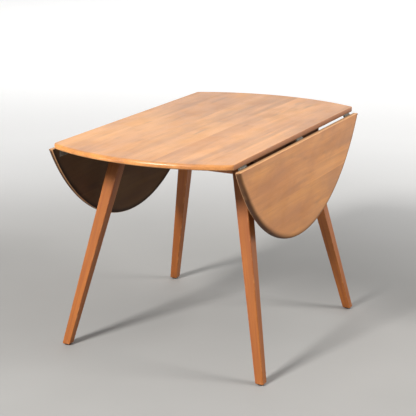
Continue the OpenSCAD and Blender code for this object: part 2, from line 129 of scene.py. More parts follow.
class Graph:
    """The nodes of one material. Each helper adds a node and gives back its output."""

    def __init__(self, name):
        self.material = bpy.data.materials.new(name)
        self.material.use_nodes = True
        self.nodes = self.material.node_tree.nodes
        self.links = self.material.node_tree.links
        self.shader = self.nodes["Principled BSDF"]

    def wire(self, value, socket):
        if isinstance(value, bpy.types.NodeSocket):
            self.links.new(value, socket)
        else:
            socket.default_value = value

    def add(self, kind, inputs, output=0, **settings):
        node = self.nodes.new(kind)
        for key, value in settings.items():
            setattr(node, key, value)
        for key, value in inputs.items():
            self.wire(value, node.inputs[key])
        return node.outputs[output]

    def attribute(self, name, output="Vector"):
        return self.add("ShaderNodeAttribute", {}, output, attribute_name=name)

    def position(self):
        return self.add("ShaderNodeTexCoord", {}, "Object")

    def scaled(self, vector, x, y, z):
        return self.add("ShaderNodeVectorMath", {0: vector, 1: (x, y, z)}, operation="MULTIPLY")

    def moved(self, vector, other):
        return self.add("ShaderNodeVectorMath", {0: vector, 1: other}, operation="ADD")

    def maths(self, operation, a, b=0.0):
        return self.add("ShaderNodeMath", {0: a, 1: b}, operation=operation)

    def part(self, vector, axis):
        return self.add("ShaderNodeSeparateXYZ", {0: vector}, axis)

    def joined(self, x, y, z):
        return self.add("ShaderNodeCombineXYZ", {0: x, 1: y, 2: z})

    def noise(self, vector, detail=3.0, rough=0.55, twist=0.0):
        """Noise from 0 to 1, whose blotches are about half a unit of the vector across."""
        inputs = {"Vector": vector, "Scale": 1.0, "Detail": detail, "Roughness": rough,
                  "Distortion": twist}
        return self.add("ShaderNodeTexNoise", inputs, "Fac")

    def chance(self, value):
        """Three random numbers that depend on the value alone."""
        return self.add("ShaderNodeTexWhiteNoise", {"W": value}, "Color", noise_dimensions="1D")

    def rings(self, vector, scale, distortion):
        """Growth rings about the Y axis, with a slow rise and a quick fall in each."""
        inputs = {"Vector": vector, "Scale": scale, "Distortion": distortion, "Detail": 1.0,
                  "Detail Scale": 1.1, "Detail Roughness": 0.5}
        return self.add("ShaderNodeTexWave", inputs, "Fac", wave_type="RINGS",
                        rings_direction="Y", wave_profile="SAW")

    def ramp(self, value, start, end, low=0.0, high=1.0):
        """A smooth step of value: low up to start, high from end on."""
        inputs = {"Value": value, "From Min": start, "From Max": end, "To Min": low,
                  "To Max": high}
        return self.add("ShaderNodeMapRange", inputs, interpolation_type="SMOOTHSTEP")

    def mix(self, share, a, b, way="MIX"):
        node = self.nodes.new("ShaderNodeMix")
        node.data_type = "RGBA"
        node.blend_type = way
        self.wire(share, node.inputs[0])
        self.wire(a, node.inputs[6])
        self.wire(b, node.inputs[7])
        return node.outputs[2]

    def laid(self, colour, pattern, start, end, share, over):
        """Lays another colour over this one where a pattern is high, up to the given share."""
        return self.mix(self.ramp(pattern, start, end, 0.0, share), colour, over)

    def tinted(self, colour, tint):
        return self.mix(1.0, colour, tint, "MULTIPLY")

    def length(self, vector):
        return self.add("ShaderNodeVectorMath", {0: vector}, "Value", operation="LENGTH")

    def bump(self, height, depth, before=None):
        """Relief of the given depth in metres, laid over an earlier bump if there is one."""
        inputs = {"Height": height, "Distance": depth, "Strength": 1.0}
        if before is not None:
            inputs["Normal"] = before
        return self.add("ShaderNodeBump", inputs)

    def relief(self, *layers):
        """Bumps laid over each other, each a pattern and its depth in metres."""
        normal = None
        for height, depth in layers:
            normal = self.bump(height, depth, normal)
        return normal

    def finish(self, colour, rough, normal, **constants):
        """Wires the patterns into the shader and sets what is the same all over on its sockets."""
        self.wire(colour, self.shader.inputs["Base Color"])
        self.wire(rough, self.shader.inputs["Roughness"])
        self.wire(normal, self.shader.inputs["Normal"])
        for key, value in constants.items():
            self.shader.inputs[key.replace("_", " ")].default_value = value
        return self.material


def rgb(red, green, blue):
    return (red, green, blue, 1.0)


# ------------------------------------------------------------------ materials

STAVE_W = 0.148  # width of each board glued up into the top and the leaves


def elm_figure(g, grain):
    """Wide annual rings, soft shadow streaks, fibres and pores of flat sawn elm."""
    across = g.maths("ADD", g.maths("DIVIDE", g.part(grain, "X"), STAVE_W), 0.5)
    stave = g.maths("FLOOR", across)
    own = g.chance(stave)
    wander = g.noise(g.scaled(grain, 2.0, 1.6, 2.0), 1.0)
    place = g.moved(grain, g.scaled(own, 0.05, 1.9, 0.02))
    sway = g.maths("MULTIPLY", g.maths("SUBTRACT", wander, 0.5), 0.085)
    heart = g.moved(g.scaled(place, 1.0, 0.16, 1.0), g.joined(sway, 0.0, 0.085))
    return {
        "tone": g.part(own, "Y"),
        "rings": g.rings(heart, 15.0, 2.2),
        "clouds": g.noise(g.scaled(place, 7.0, 1.8, 7.0), 2.0),
        "blotches": g.noise(g.scaled(place, 13.0, 5.0, 13.0), 3.0, 0.6, 0.3),
        "groups": g.ramp(g.noise(g.scaled(place, 6.5, 2.4, 6.5), 1.0), 0.34, 0.66, 0.22, 1.0),
        "streaks": g.noise(g.scaled(place, 19.0, 1.5, 19.0), 2.5, 0.55, 0.7),
        "smudges": g.noise(g.scaled(place, 34.0, 6.5, 34.0), 0.6, 0.4, 0.35),
        "lines": g.noise(g.scaled(place, 190.0, 4.5, 190.0), 3.0, 0.55),
        "fibres": g.noise(g.scaled(place, 900.0, 22.0, 900.0), 2.0, 0.6),
        "pores": g.noise(g.scaled(place, 1500.0, 90.0, 1500.0), 1.0),
    }


ELM_PALE = rgb(0.77, 0.366, 0.108)
ELM_DEEP = rgb(0.57, 0.245, 0.075)
ELM_STAVE = rgb(0.73, 0.312, 0.115)
ELM_RING = rgb(0.50, 0.20, 0.075)
ELM_AGED = rgb(0.44, 0.185, 0.070)
ELM_STREAK = rgb(0.44, 0.215, 0.105)
ELM_SMUDGE = rgb(0.26, 0.135, 0.078)
ELM_LINE = rgb(0.47, 0.20, 0.080)
ELM_FIBRE = rgb(0.55, 0.25, 0.10)
ELM_PORE = rgb(0.26, 0.12, 0.055)
LEAF_TINT = rgb(0.96, 0.88, 0.76)
RIM_PALE = rgb(0.72, 0.315, 0.095)
RIM_DEEP = rgb(0.46, 0.165, 0.050)
RIM_LINE = rgb(0.36, 0.13, 0.035)
RIM_RUBBED = rgb(0.78, 0.40, 0.16)
LEAF_RIM_DARK = rgb(0.055, 0.020, 0.008)
HINGE_EDGE = rgb(0.42, 0.155, 0.055)
PAINTED_ARRIS_HIGHLIGHT = rgb(0.80, 0.44, 0.20)
UNDERSIDE_PAINTED_SHADE = rgb(0.22, 0.27, 0.40)


def elm_face(g, f, tan):
    """The colour of the faces, from the broad clouds down to the pores."""
    colour = g.mix(g.ramp(f["clouds"], 0.3, 0.72), ELM_PALE, ELM_DEEP)
    colour = g.laid(colour, f["tone"], 0.0, 1.0, 0.3, ELM_STAVE)
    colour = g.laid(colour, f["rings"], 0.35, 0.98, 0.2, ELM_RING)
    colour = g.laid(colour, f["blotches"], 0.42, 0.70, 0.52, ELM_AGED)
    streaky = g.maths("MULTIPLY", g.ramp(f["streaks"], 0.42, 0.72, 0.0, 0.9), f["groups"])
    colour = g.mix(streaky, colour, ELM_STREAK)
    colour = g.laid(colour, f["smudges"], 0.66, 0.88, 0.65, ELM_SMUDGE)
    colour = g.laid(colour, f["lines"], 0.42, 0.72, 0.26, ELM_LINE)
    colour = g.laid(colour, f["fibres"], 0.35, 0.75, 0.12, ELM_FIBRE)
    colour = g.laid(colour, f["pores"], 0.66, 0.80, 0.35, ELM_PORE)
    return g.mix(tan, colour, g.tinted(colour, LEAF_TINT))


def elm_rim(g, f, grain):
    """The warmer colour round the rim, in long soft patches."""
    patches = g.ramp(g.noise(g.scaled(grain, 13.0, 13.0, 13.0), 2.0, 0.5, 0.4), 0.38, 0.72)
    warm = g.mix(patches, RIM_PALE, RIM_DEEP)
    return g.laid(warm, f["lines"], 0.45, 0.7, 0.35, RIM_LINE)


def elm_leaf_rim_dark(g, f, tan, pale):
    """How dark a leaf's rim is made, from how far out in the oval a point lies."""
    out = g.length(g.attribute("oval"))
    out = g.maths("ADD", out, g.ramp(f["clouds"], 0.3, 0.7, -0.003, 0.004))
    leaf_rim_dark = g.maths("MULTIPLY", g.ramp(out, 0.968, 1.003, 0.0, 0.97), tan)
    return g.maths("MULTIPLY", leaf_rim_dark, g.maths("SUBTRACT", 1.0, pale))


def elm_rough(g, f, grain, rim, tan, matt):
    """Satin on the top, smoother round the rim, rougher on the leaves, duller where matt."""
    rough = g.ramp(f["streaks"], 0.3, 0.8, 0.36, 0.46)
    rough = g.maths("ADD", rough, g.ramp(f["pores"], 0.62, 0.8, 0.0, 0.12))
    smears = g.noise(g.scaled(grain, 13.0, 9.0, 9.0), 4.0, 0.65)
    rough = g.maths("ADD", rough, g.ramp(smears, 0.4, 0.7, -0.04, 0.05))
    worn = g.maths("SUBTRACT", g.ramp(rim, 0.3, 0.9, 0.0, 0.15), g.maths("MULTIPLY", tan, 0.12))
    rough = g.maths("SUBTRACT", rough, worn)
    return g.maths("ADD", rough, g.maths("MULTIPLY", matt, 0.4))


def elm():
    """Pale, streaky elm under a satin lacquer, warmer and more worn round the rim."""
    g = Graph("elm_lacquered")
    grain = g.attribute("grain")
    rim = g.attribute("rim", "Fac")
    edge = g.attribute("dark_edge", "Fac")
    pale = g.attribute("painted_edge_highlight", "Fac")
    under = g.attribute("underside", "Fac")
    tan = g.attribute("tan", "Fac")
    f = elm_figure(g, grain)
    leaf_rim_dark = elm_leaf_rim_dark(g, f, tan, pale)
    colour = g.laid(elm_face(g, f, tan), rim, 0.0, 1.0, 0.85, elm_rim(g, f, grain))
    colour = g.mix(edge, colour, HINGE_EDGE)
    # A near black band is laid round each leaf's rim, fading in over the outermost part of the
    # oval.
    colour = g.mix(leaf_rim_dark, colour, LEAF_RIM_DARK)
    # Painted highlight: a pale line along each leaf's inner arris and along its straight hinge
    # edge.
    colour = g.laid(colour, pale, 0.0, 1.0, 0.7, PAINTED_ARRIS_HIGHLIGHT)
    rubbed = g.ramp(g.noise(g.scaled(grain, 12.0, 12.0, 12.0), 2.0), 0.52, 0.75, 0.0, 0.2)
    colour = g.mix(g.maths("MULTIPLY", rubbed, rim), colour, RIM_RUBBED)
    # Painted shade: the underside and the lower rounding of the edge are tinted darker and bluer.
    colour = g.mix(under, colour, g.tinted(colour, UNDERSIDE_PAINTED_SHADE))
    matt = g.maths("MAXIMUM", under, g.maths("MULTIPLY", leaf_rim_dark, 0.8))
    g.wire(g.ramp(matt, 0.0, 1.0, 0.10, 0.0), g.shader.inputs["Coat Weight"])
    rough = elm_rough(g, f, grain, rim, tan, matt)
    normal = g.relief((f["pores"], 0.00004), (f["fibres"], 0.00003), (f["rings"], 0.00008))
    return g.finish(colour, rough, normal, Specular_IOR_Level=0.4, Coat_Roughness=0.3)


BEECH_WARM = rgb(0.45, 0.140, 0.023)
BEECH_DEEP = rgb(0.33, 0.098, 0.017)
BEECH_BAND = rgb(0.32, 0.086, 0.019)
BEECH_FIBRE = rgb(0.34, 0.102, 0.025)
BEECH_FLECK = rgb(0.20, 0.065, 0.022)
BEECH_RUBBED = rgb(0.64, 0.28, 0.10)
BEECH_HANDLED = rgb(0.27, 0.085, 0.026)
BEECH_SHADE = rgb(0.30, 0.30, 0.32)


def beech():
    """Orange brown beech under a satin lacquer, with short flecks and paler rubbed arrises."""
    g = Graph("beech_lacquered")
    grain = g.attribute("grain")
    wear = g.attribute("rim", "Fac")
    shade = g.attribute("shade", "Fac")
    clouds = g.noise(g.scaled(grain, 14.0, 3.0, 14.0), 2.0)
    bands = g.noise(g.scaled(grain, 120.0, 3.5, 120.0), 3.0, 0.6, 0.3)
    fibres = g.noise(g.scaled(grain, 900.0, 26.0, 900.0), 2.0, 0.6)
    flecks = g.noise(g.scaled(grain, 1500.0, 260.0, 600.0), 1.0)
    colour = g.mix(g.ramp(clouds, 0.3, 0.7), BEECH_WARM, BEECH_DEEP)
    colour = g.laid(colour, bands, 0.42, 0.72, 0.8, BEECH_BAND)
    colour = g.laid(colour, fibres, 0.35, 0.75, 0.22, BEECH_FIBRE)
    colour = g.laid(colour, flecks, 0.66, 0.76, 0.45, BEECH_FLECK)
    nicks = g.ramp(g.noise(g.scaled(grain, 90.0, 34.0, 90.0), 4.0, 0.7), 0.50, 0.68)
    rubbed = g.maths("MULTIPLY", g.ramp(wear, 0.25, 1.0, 0.0, 0.42), nicks)
    colour = g.mix(rubbed, colour, BEECH_RUBBED)
    handled = g.noise(g.scaled(grain, 22.0, 6.0, 22.0), 4.0, 0.65)
    colour = g.laid(colour, handled, 0.55, 0.75, 0.25, BEECH_HANDLED)
    # Painted shade: the colour is darkened where the shade value is high, at the legs' tops and on
    # the hidden rails and bearers.
    colour = g.mix(shade, colour, g.tinted(colour, BEECH_SHADE))
    rough = g.ramp(bands, 0.3, 0.8, 0.44, 0.56)
    rough = g.maths("ADD", rough, g.ramp(wear, 0.4, 1.0, 0.0, -0.06))
    rough = g.maths("ADD", rough, g.ramp(shade, 0.0, 1.0, 0.0, 0.3))
    normal = g.relief((flecks, 0.00003), (fibres, 0.00003), (bands, 0.00005))
    return g.finish(colour, rough, normal, Specular_IOR_Level=0.4, Coat_Weight=0.04,
                    Coat_Roughness=0.35)


def metal(name, bright, dull, stain, rough_low, rough_high):
    """Plain steel hardware: drifting tone, fine scratches and a darker stain in places."""
    g = Graph(name)
    place = g.position()
    drift = g.noise(g.scaled(place, 160.0, 160.0, 160.0), 3.0, 0.6)
    scratches = g.noise(g.scaled(place, 2600.0, 180.0, 2600.0), 2.0, 0.6, 0.2)
    blotches = g.noise(g.scaled(place, 420.0, 420.0, 420.0), 4.0, 0.7)
    colour = g.mix(g.ramp(drift, 0.3, 0.7), bright, dull)
    colour = g.laid(colour, blotches, 0.58, 0.78, 0.7, stain)
    colour = g.laid(colour, scratches, 0.62, 0.78, 0.35, bright)
    rough = g.ramp(blotches, 0.3, 0.75, rough_low, rough_high)
    rough = g.maths("ADD", rough, g.ramp(scratches, 0.55, 0.8, 0.0, 0.12))
    normal = g.relief((scratches, 0.00002), (blotches, 0.00003))
    return g.finish(colour, rough, normal, Metallic=1.0)


PLASTIC = rgb(0.030, 0.020, 0.015)
PLASTIC_PEBBLE = rgb(0.048, 0.032, 0.023)
PLASTIC_SCUFF = rgb(0.13, 0.105, 0.085)
DUST = rgb(0.22, 0.20, 0.17)
DUST_HEIGHT = 0.004


def moulded_plastic():
    """Dark brown moulded glides, scuffed and dusty towards the floor."""
    g = Graph("glide_moulded_plastic")
    place = g.position()
    pebble = g.noise(g.scaled(place, 2200.0, 2200.0, 2200.0), 2.0)
    scuffs = g.noise(g.scaled(place, 260.0, 260.0, 900.0), 4.0, 0.7, 0.5)
    low = g.ramp(g.part(place, "Z"), 0.0, DUST_HEIGHT, 1.0, 0.0)
    colour = g.mix(g.ramp(pebble, 0.35, 0.65), PLASTIC, PLASTIC_PEBBLE)
    colour = g.laid(colour, scuffs, 0.55, 0.72, 0.55, PLASTIC_SCUFF)
    dusty = g.maths("MULTIPLY", low, g.ramp(scuffs, 0.35, 0.6, 0.1, 0.5))
    colour = g.mix(dusty, colour, DUST)
    rough = g.ramp(scuffs, 0.35, 0.75, 0.42, 0.68)
    return g.finish(colour, rough, g.relief((pebble, 0.00004), (scuffs, 0.00006)))


MATERIALS = {
    "elm": elm(),
    "beech": beech(),
    "dull_steel": metal("dull_steel", rgb(0.34, 0.33, 0.29), rgb(0.22, 0.21, 0.185),
                        rgb(0.13, 0.095, 0.07), 0.42, 0.6),
    "zinc_plate": metal("zinc_plate", rgb(0.66, 0.66, 0.64), rgb(0.50, 0.50, 0.48),
                        rgb(0.30, 0.28, 0.24), 0.26, 0.44),
    "glide_plastic": moulded_plastic(),
}

# ------------------------------------------------------------------ making and placing pieces

SHARP_DEGREES = 40  # a crease steeper than this stays sharp in the shading


def store(mesh, name, values):
    """Writes one number or one vector for each vertex, which the materials read."""
    vectors = np.ndim(values) == 2
    kind = "FLOAT_VECTOR" if vectors else "FLOAT"
    attribute = mesh.attributes.new(name, kind, "POINT")
    key = "vector" if vectors else "value"
    attribute.data.foreach_set(key, np.asarray(values, np.float32).ravel())


def points_of(mesh):
    flat = np.zeros(len(mesh.vertices) * 3, np.float32)
    mesh.vertices.foreach_get("co", flat)
    return flat.reshape(-1, 3).astype(float)


def piece(name, mesh, body, slot, node):
    """Puts a finished mesh in the scene in place of a CAD node, riding on its body."""
    mesh.materials.clear()
    mesh.materials.append(MATERIALS[slot])
    mesh.shade_smooth()
    mesh.set_sharp_from_angle(angle=math.radians(SHARP_DEGREES))
    obj = bpy.data.objects.new(name, mesh)
    bpy.context.scene.collection.objects.link(obj)
    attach(obj, body)
    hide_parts(node)


def body_of(node):
    return frame["nodes"][node]["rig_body"]


def mesh_from(bm, name):
    bmesh.ops.recalc_face_normals(bm, faces=bm.faces)
    mesh = bpy.data.meshes.new(name)
    bm.to_mesh(mesh)
    bm.free()
    return mesh


# ------------------------------------------------------------------ the top and the leaves


def oval_y(x):
    """Half the length of the oval outline at this distance from its middle line."""
    return OVAL_HALF_L * math.sqrt(max(0.0, 1 - (x / OVAL_HALF_W) ** 2))


def corner_curve(start, corner, end):
    """A rounded corner between two edge points, as a quadratic curve."""
    shares = [i / CORNER_STEPS for i in range(CORNER_STEPS + 1)]
    return [start * (1 - s) ** 2 + corner * 2 * s * (1 - s) + end * s * s for s in shares]


def top_outline():
    """The fixed board's outline, anticlockwise from the back right corner."""
    edge_y = oval_y(HALF_W)
    cut_x = HALF_W - CORNER_CUT
    right = corner_curve(Vector((HALF_W, edge_y - CORNER_CUT)), Vector((HALF_W, edge_y)),
                         Vector((cut_x, oval_y(cut_x))))
    turns = [math.pi * i / TOP_STEPS for i in range(1, TOP_STEPS)]
    curve = [Vector((cut_x * math.cos(t), oval_y(cut_x * math.cos(t)))) for t in turns]
    left = [Vector((-p.x, p.y)) for p in reversed(right)]
    half = right + curve + left
    return half + [-p for p in half]


def leaf_outline():
    """The right leaf's outline as it lies when raised, anticlockwise."""
    edge_y = oval_y(LEAF_EDGE)
    cut_x = LEAF_EDGE + LEAF_CORNER_CUT
    start = math.acos(cut_x / OVAL_HALF_W)
    corner = corner_curve(Vector((cut_x, oval_y(cut_x))), Vector((LEAF_EDGE, edge_y)),
                          Vector((LEAF_EDGE, edge_y - LEAF_CORNER_CUT)))
    turns = [start * (2 * i / LEAF_STEPS - 1) for i in range(1, LEAF_STEPS)]
    curve = [Vector((OVAL_HALF_W * math.cos(t), OVAL_HALF_L * math.sin(t))) for t in turns]
    front = [Vector((p.x, -p.y)) for p in reversed(corner)]
    return front + curve + corner


def rim_radius(point, edge_x, full):
    """The edge's radius at a point: small on the hinge edge and full a short way from it."""
    share = min(1.0, abs(abs(point.x) - edge_x) / RIM_RISE)
    return HINGE_EDGE_R + (full - HINGE_EDGE_R) * share


def board_rings(outline, edge_x):
    """Rings of points from the underside's flat, out round the edge, to the top's flat."""
    count = len(outline)
    inward = []
    for i in range(count):
        along = (outline[(i + 1) % count] - outline[i - 1]).normalized()
        inward.append(Vector((-along.y, along.x)))
    turns = [math.pi / 2 * k / EDGE_STEPS for k in range(EDGE_STEPS + 1)]
    profile = [(False, None)] + [(False, t) for t in turns]
    profile += [(True, t) for t in reversed(turns)] + [(True, None)]
    rings = []
    for upper, turn in profile:
        ring = []
        for point, normal in zip(outline, inward):
            r = rim_radius(point, edge_x, RIM_R_TOP if upper else RIM_R_BOTTOM)
            inset = r + LIP if turn is None else r * (1 - math.sin(turn))
            rise = 0.0 if turn is None else r * (1 - math.cos(turn))
            z = UNDER_Z + (BOARD_T - rise if upper else rise)
            ring.append((*(point + normal * inset), z))
        rings.append(ring)
    return rings


def lofted(rings):
    """A closed solid through rings of equal length, with a flat face at each end."""
    bm = bmesh.new()
    made = [[bm.verts.new(p) for p in ring] for ring in rings]
    count = len(rings[0])
    for low, high in zip(made, made[1:]):
        for i in range(count):
            j = (i + 1) % count
            bm.faces.new((low[i], low[j], high[j], high[i]))
    bm.faces.new(list(reversed(made[0])))
    bm.faces.new(made[-1])
    return bm


def box_mesh(low, high):
    bm = bmesh.new()
    bmesh.ops.create_cube(bm, size=1.0)
    for v in bm.verts:
        v.co = Vector((low[i] if v.co[i] < 0 else high[i] for i in range(3)))
    return bm


def cut_pockets(mesh, ways):
    """Cuts the hinge plates' pockets out of the underside, on each side given in ways."""
    cutter_mesh = bpy.data.meshes.new("cutter")
    bm = bmesh.new()
    for side, way in ways:
        reach = AXIS.x + way * (AXIS.x - PLATE_END + POCKET_SLACK)
        back = AXIS.x - way * CUTTER_PAST_AXIS
        xs = sorted((side * reach, side * back))
        for y in HINGE_YS:
            low = (xs[0], y - HINGE_L / 2 - POCKET_SLACK, UNDER_Z - CUTTER_BELOW)
            high = (xs[1], y + HINGE_L / 2 + POCKET_SLACK, UNDER_Z + POCKET_DEPTH)
            part_mesh = mesh_from(box_mesh(low, high), "cutter_part")
            bm.from_mesh(part_mesh)
            bpy.data.meshes.remove(part_mesh)
    bm.to_mesh(cutter_mesh)
    bm.free()
    cutter = bpy.data.objects.new("cutter", cutter_mesh)
    blank = bpy.data.objects.new("blank", mesh)
    for obj in (cutter, blank):
        bpy.context.scene.collection.objects.link(obj)
    boolean = blank.modifiers.new("pockets", "BOOLEAN")
    boolean.operation = "DIFFERENCE"
    boolean.solver = "EXACT"
    boolean.object = cutter
    graph = bpy.context.evaluated_depsgraph_get()
    cut = bpy.data.meshes.new_from_object(blank.evaluated_get(graph))
    for obj in (cutter, blank):
        bpy.data.objects.remove(obj)
    bpy.data.meshes.remove(mesh)
    bpy.data.meshes.remove(cutter_mesh)
    return cut


def mark_board(mesh, outline, edge_x, shift, hinge_dark, tan):
    """Stores what the elm reads for each vertex of a board that lies flat.

    That is the grain's place, the closeness to the rim, the dark edge, the pale edges with their
    painted highlight, the place in the oval outline, how far the board has a leaf's tan tone, and
    how far it is underside, where shade is painted.
    """
    points = points_of(mesh)
    ring = np.array([tuple(p) for p in outline])
    along = np.roll(ring, -1, axis=0) - ring
    flat = points[:, None, :2] - ring[None]
    length = np.maximum((along ** 2).sum(1), 1e-12)
    share = np.clip((flat * along[None]).sum(2) / length[None], 0, 1)
    away = np.linalg.norm(flat - share[..., None] * along[None], axis=2).min(1)
    upper = points[:, 2] > UNDER_Z + BOARD_T / 2
    radii = [rim_radius(Vector(p[:2]), edge_x, RIM_R_TOP if high else RIM_R_BOTTOM)
             for p, high in zip(points, upper)]
    rim = np.clip(1 - away / np.array(radii), 0, 1) ** RIM_BLEND
    straight = np.abs(np.abs(points[:, 0]) - edge_x) < STRAIGHT_NEAR
    store(mesh, "grain", points + np.array(shift))
    store(mesh, "rim", rim * ~straight)
    store(mesh, "dark_edge", straight * hinge_dark)
    # The pale edge is a painted highlight: a line along a leaf's inner arris and its straight
    # hinge edge.
    arris = np.exp(-((points[:, 2] - UNDER_Z - ARRIS_RISE) / ARRIS_W) ** 2)
    arris = arris * (rim > ARRIS_LEAST_RIM)
    store(mesh, "painted_edge_highlight", np.maximum(arris, straight) * tan)
    store(mesh, "oval", points / (OVAL_HALF_W, OVAL_HALF_L, 1.0) * (1.0, 1.0, 0.0))
    store(mesh, "tan", np.full(len(points), tan))
    # Painted shade: how far a vertex lies on the underside, fading out up the lower rounding.
    store(mesh, "underside", np.clip((UNDER_Z + UNDER_FADE - points[:, 2]) / UNDER_FADE, 0, 1))


def make_top():
    """The fixed board, with pockets for the hinges along both of its long edges."""
    outline = top_outline()
    mesh = mesh_from(lofted(board_rings(outline, HALF_W)), "centre_top_board")
    mesh = cut_pockets(mesh, [(1, -1), (-1, -1)])
    mark_board(mesh, outline, HALF_W, (0.0, 0.0, 0.0), TOP_HINGE_DARK, 0.0)
    piece("centre_top_board", mesh, "table", "elm", "centre_top")


def hung(x, z):
    """Where a point of the raised right leaf is when the leaf hangs."""
    return AXIS.x + (z - AXIS.z), AXIS.z - (x - AXIS.x)


def make_leaf(name, side, shift):
    """A leaf: made as the raised right leaf, then hung, and mirrored for the left side."""
    outline = leaf_outline()
    mesh = mesh_from(lofted(board_rings(outline, LEAF_EDGE)), f"{name}_board")
    mesh = cut_pockets(mesh, [(1, 1)])
    mark_board(mesh, outline, LEAF_EDGE, shift, 0.0, LEAF_TAN)
    for v in mesh.vertices:
        x, z = hung(v.co.x, v.co.z)
        v.co = (side * x, v.co.y, z)
    if side < 0:
        mesh.flip_normals()
    piece(f"{name}_board", mesh, name, "elm", name)


# ------------------------------------------------------------------ the legs

# The chamfer round the foot, and how far the extra points lie from the rounded corners
FOOT_CHAMFER = 0.0012
CORNER_LIP = 0.0018
# Steps up a leg and round each of its corners, and how worn the wood is beside a corner
LEG_STEPS = 24
LEG_CORNER_STEPS = 8
BESIDE_CORNER = 0.15
# How far apart in the grain two legs or two timbers lie, so that none repeats another
LEG_GRAIN_STEP = (0.31, 1.7, 0.23)
TIMBER_GRAIN_STEP = (0.37, 2.3, 0.19)
# The legs get painted shade towards the top, under the table: where it starts, over what height,
# and how much
SHADE_FROM = 0.50
SHADE_RISE = 0.12
LEG_SHADE = 0.7
SAME_HEIGHT = 1e-5  # CAD points nearer in height than this are in one end of a leg


def leg_section(node, top):
    """Centre and side of a CAD leg's square section at its top or foot."""
    points = points_of(frame["nodes"][node].data)
    z = points[:, 2].max() if top else points[:, 2].min()
    ring = points[np.abs(points[:, 2] - z) < SAME_HEIGHT]
    low, high = ring.min(0), ring.max(0)
    return Vector((low + high) / 2), high[0] - low[0]


def leg_ring(side):
    """A rounded square with extra points beside its corners, each with how worn it is."""
    r = LEG_CORNER_SHARE * side
    half = side / 2
    turns = [math.radians(90 * k / LEG_CORNER_STEPS) for k in range(LEG_CORNER_STEPS + 1)]
    corner = [(half - r + r * math.cos(t), half - r + r * math.sin(t), 1.0) for t in turns]
    beside = half - r - CORNER_LIP
    quarter = [(half, 0.0, 0.0), (half, beside, BESIDE_CORNER)] + corner
    quarter += [(beside, half, BESIDE_CORNER)]
    ring = []
    for q in range(4):
        c, s = round(math.cos(q * math.pi / 2)), round(math.sin(q * math.pi / 2))
        ring += [(c * x - s * y, s * x + c * y, worn) for x, y, worn in quarter]
    return ring


def make_leg(node, order):
    """A square leg, tapered and splayed as the CAD leg is, with the grain along it."""
    top, top_side = leg_section(node, True)
    foot, foot_side = leg_section(node, False)
    length = top.z - foot.z
    heights = [0.0, FOOT_CHAMFER] + [length * i / LEG_STEPS for i in range(1, LEG_STEPS + 1)]
    rings, worn = [], []
    for height in heights:
        share = height / length
        centre = foot.lerp(top, share)
        side = foot_side + (top_side - foot_side) * share
        trim = 2 * FOOT_CHAMFER if height == 0.0 else 0.0
        ring = leg_ring(side - trim)
        worn += [1.0 if height <= FOOT_CHAMFER else w for x, y, w in ring]
        rings.append([(centre.x + x, centre.y + y, centre.z) for x, y, w in ring])
    mesh = mesh_from(lofted(rings), f"{node}_turned")
    points = points_of(mesh)
    share = (points[:, 2] - foot.z) / length
    centre = np.array(foot)[None] + share[:, None] * np.array(top - foot)[None]
    across = points - centre
    grain = np.stack([across[:, 0], share * (top - foot).length, across[:, 1]], 1)
    store(mesh, "grain", grain + np.array(LEG_GRAIN_STEP) * order)
    store(mesh, "rim", worn)
    # Painted shade on the upper part of each leg, under the top.
    store(mesh, "shade", np.clip((points[:, 2] - SHADE_FROM) / SHADE_RISE, 0, 1) * LEG_SHADE)
    piece(f"{node}_shaft", mesh, "table", "beech", node)


# ------------------------------------------------------------------ softened CAD pieces

# CAD vertices nearer than this are one, and faces flatter than this to each other are joined
WELD = 2e-6
FLAT_DEGREES = 0.4
# Edges sharper than this are eased, in this many segments
EASED_DEGREES = 50
EASED_SEGMENTS = 2
# A timber's easing, its shortest eased edge, and the largest face that counts as an edge's
TIMBER_EASE = 0.0008
TIMBER_LEAST = 0.012
HIDDEN_SHADE = 1.0  # how dark the painted shade makes the side rails and bearers under the top
EDGE_FACE_AREA = 2e-5
# The easing of the arms, of plates and zinc fittings, and of the small screws and pins
ARM_EASE = 0.0004
PLATE_EASE = 0.0002
SCREW_EASE = 0.0001

def softened(node, width, least=0.0):
    """A copy of a CAD node's mesh with every sharp edge of at least the least length rounded."""
    bm = bmesh.new()
    bm.from_mesh(frame["nodes"][node].data)
    bmesh.ops.remove_doubles(bm, verts=bm.verts, dist=WELD)
    flat = math.radians(FLAT_DEGREES)
    bmesh.ops.dissolve_limit(bm, angle_limit=flat, verts=bm.verts, edges=bm.edges)
    limit = math.radians(EASED_DEGREES)
    edges = [e for e in bm.edges if len(e.link_faces) == 2
             and e.calc_face_angle(0.0) > limit and e.calc_length() >= least]
    bmesh.ops.bevel(bm, geom=edges, offset=width, offset_type="OFFSET",
                    segments=EASED_SEGMENTS, profile=0.5, affect="EDGES", clamp_overlap=True)
    return bm


def make_timber(node, along, order, shade=0.0):
    """A rail, brace or bearer: planed beech with eased edges, given painted shade as shade nears
    1.
    """
    mesh = mesh_from(softened(node, TIMBER_EASE, TIMBER_LEAST), f"{node}_timber")
    points = points_of(mesh)
    direction = np.array(along, float) / np.linalg.norm(along)
    across = np.array((direction[1], -direction[0], 0.0))
    grain = np.stack([points @ across, points @ direction, points[:, 2]], 1)
    store(mesh, "grain", grain + np.array(TIMBER_GRAIN_STEP) * order)
    store(mesh, "rim", edge_wear(mesh))
    store(mesh, "shade", np.full(len(points), shade))
    piece(f"{node}_timber", mesh, body_of(node), "beech", node)


def edge_wear(mesh):
    """1 where a vertex lies on a rounded edge, and 0 on the flats."""
    worn = np.zeros(len(mesh.vertices))
    for polygon in mesh.polygons:
        if polygon.area < EDGE_FACE_AREA:
            worn[list(polygon.vertices)] = 1.0
    return worn


def make_hardware(node, slot, width):
    """A metal part: the CAD mesh with eased edges."""
    mesh = mesh_from(softened(node, width), f"{node}_metal")
    piece(f"{node}_metal", mesh, body_of(node), slot, node)


